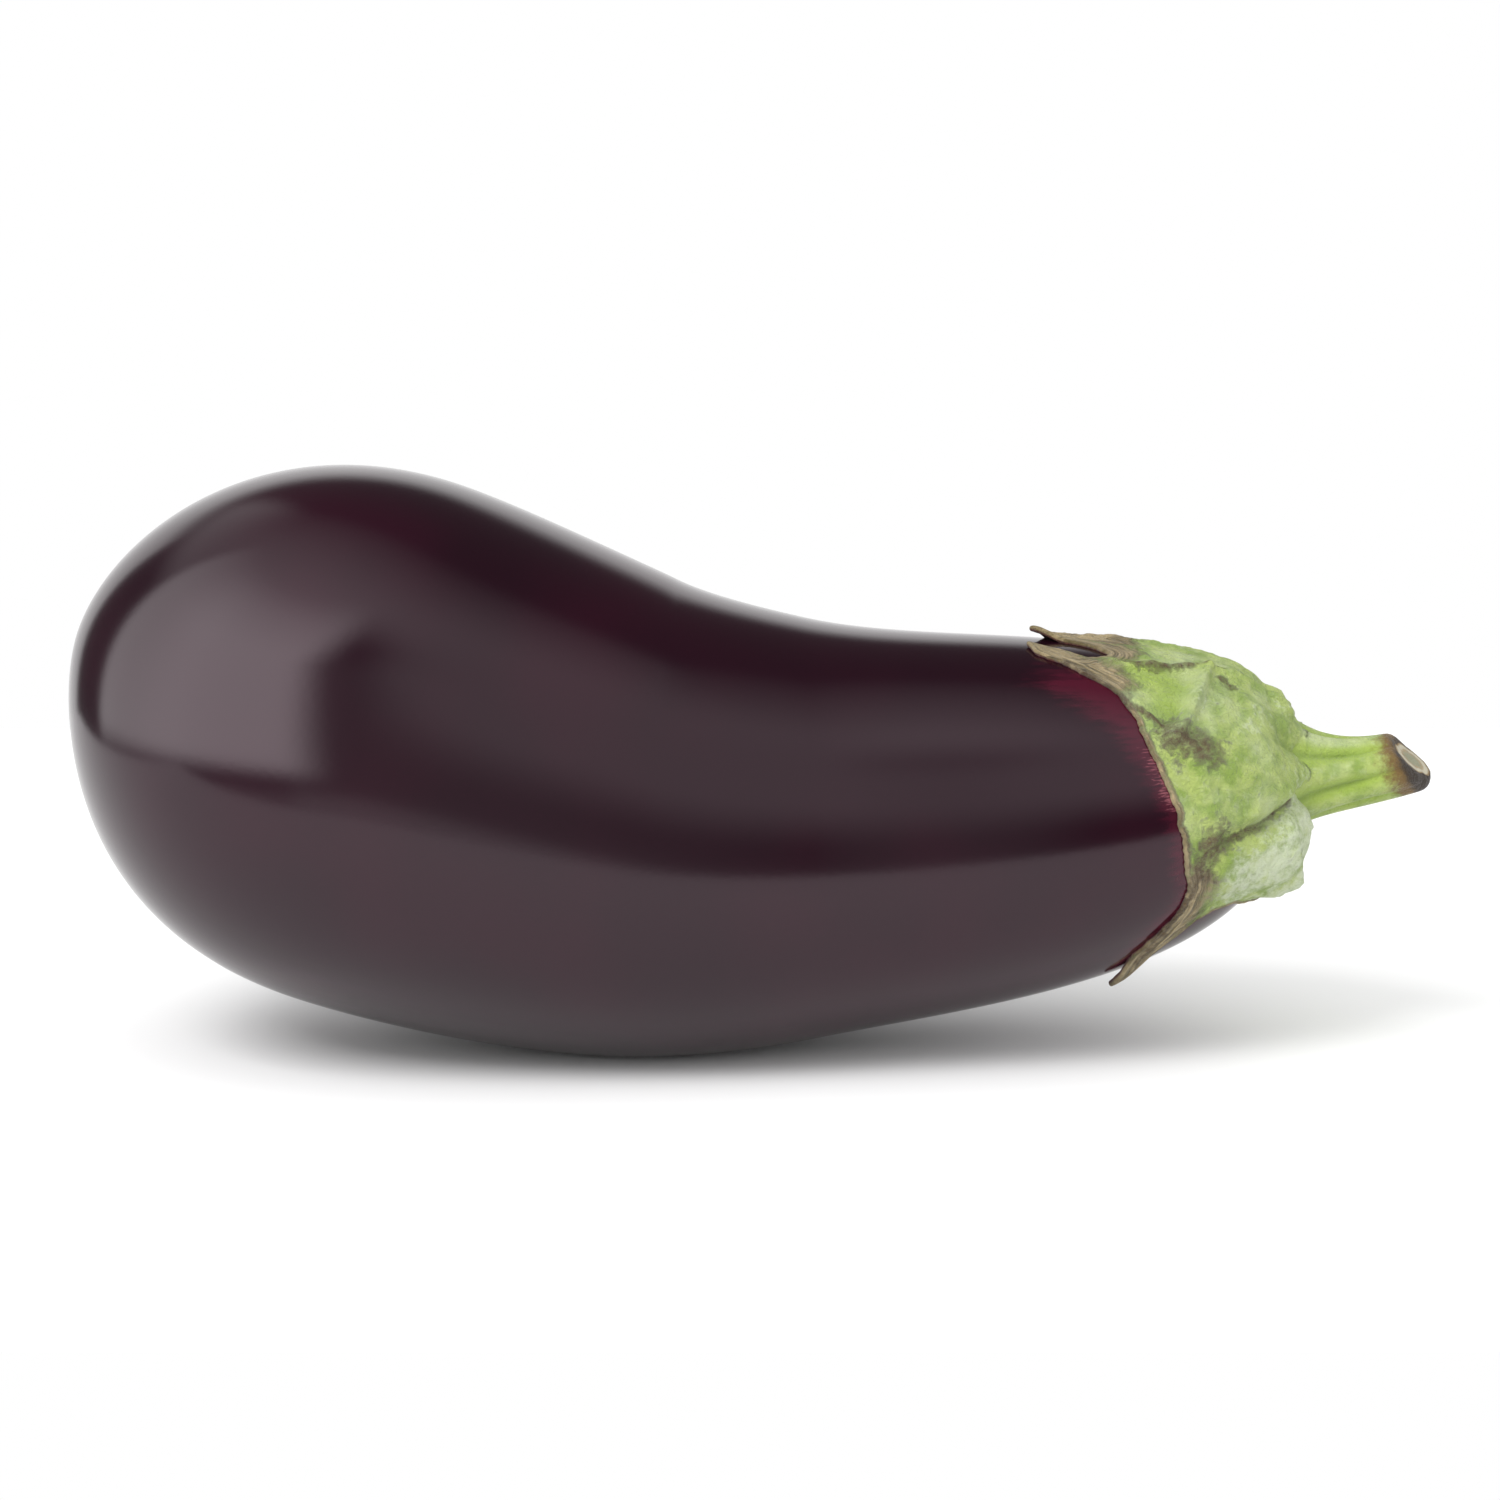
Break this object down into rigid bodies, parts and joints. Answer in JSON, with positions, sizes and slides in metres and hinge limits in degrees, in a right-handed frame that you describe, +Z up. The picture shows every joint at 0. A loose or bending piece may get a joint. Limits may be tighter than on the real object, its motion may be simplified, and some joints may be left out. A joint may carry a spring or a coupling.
{
  "type": "eggplant",
  "caption": "Whole dark purple eggplant lying on its belly, with a fleshy green calyx and a short ribbed cut stem.",
  "frame": {"origin": "centre of the bounding box's bottom face, on the surface that the eggplant lies on", "axes": "+X along the fruit from the blossom end to the stem, +Z up, -Y towards the viewer"},
  "size_m": [0.2144, 0.085, 0.093],
  "materials": {
    "skin": "gloss",
    "calyx": "satin",
    "stem": "satin"
  },
  "bodies": {
    "root": {"fruit": "skin", "calyx": "calyx", "stem": "stem"}
  },
  "joints": []
}
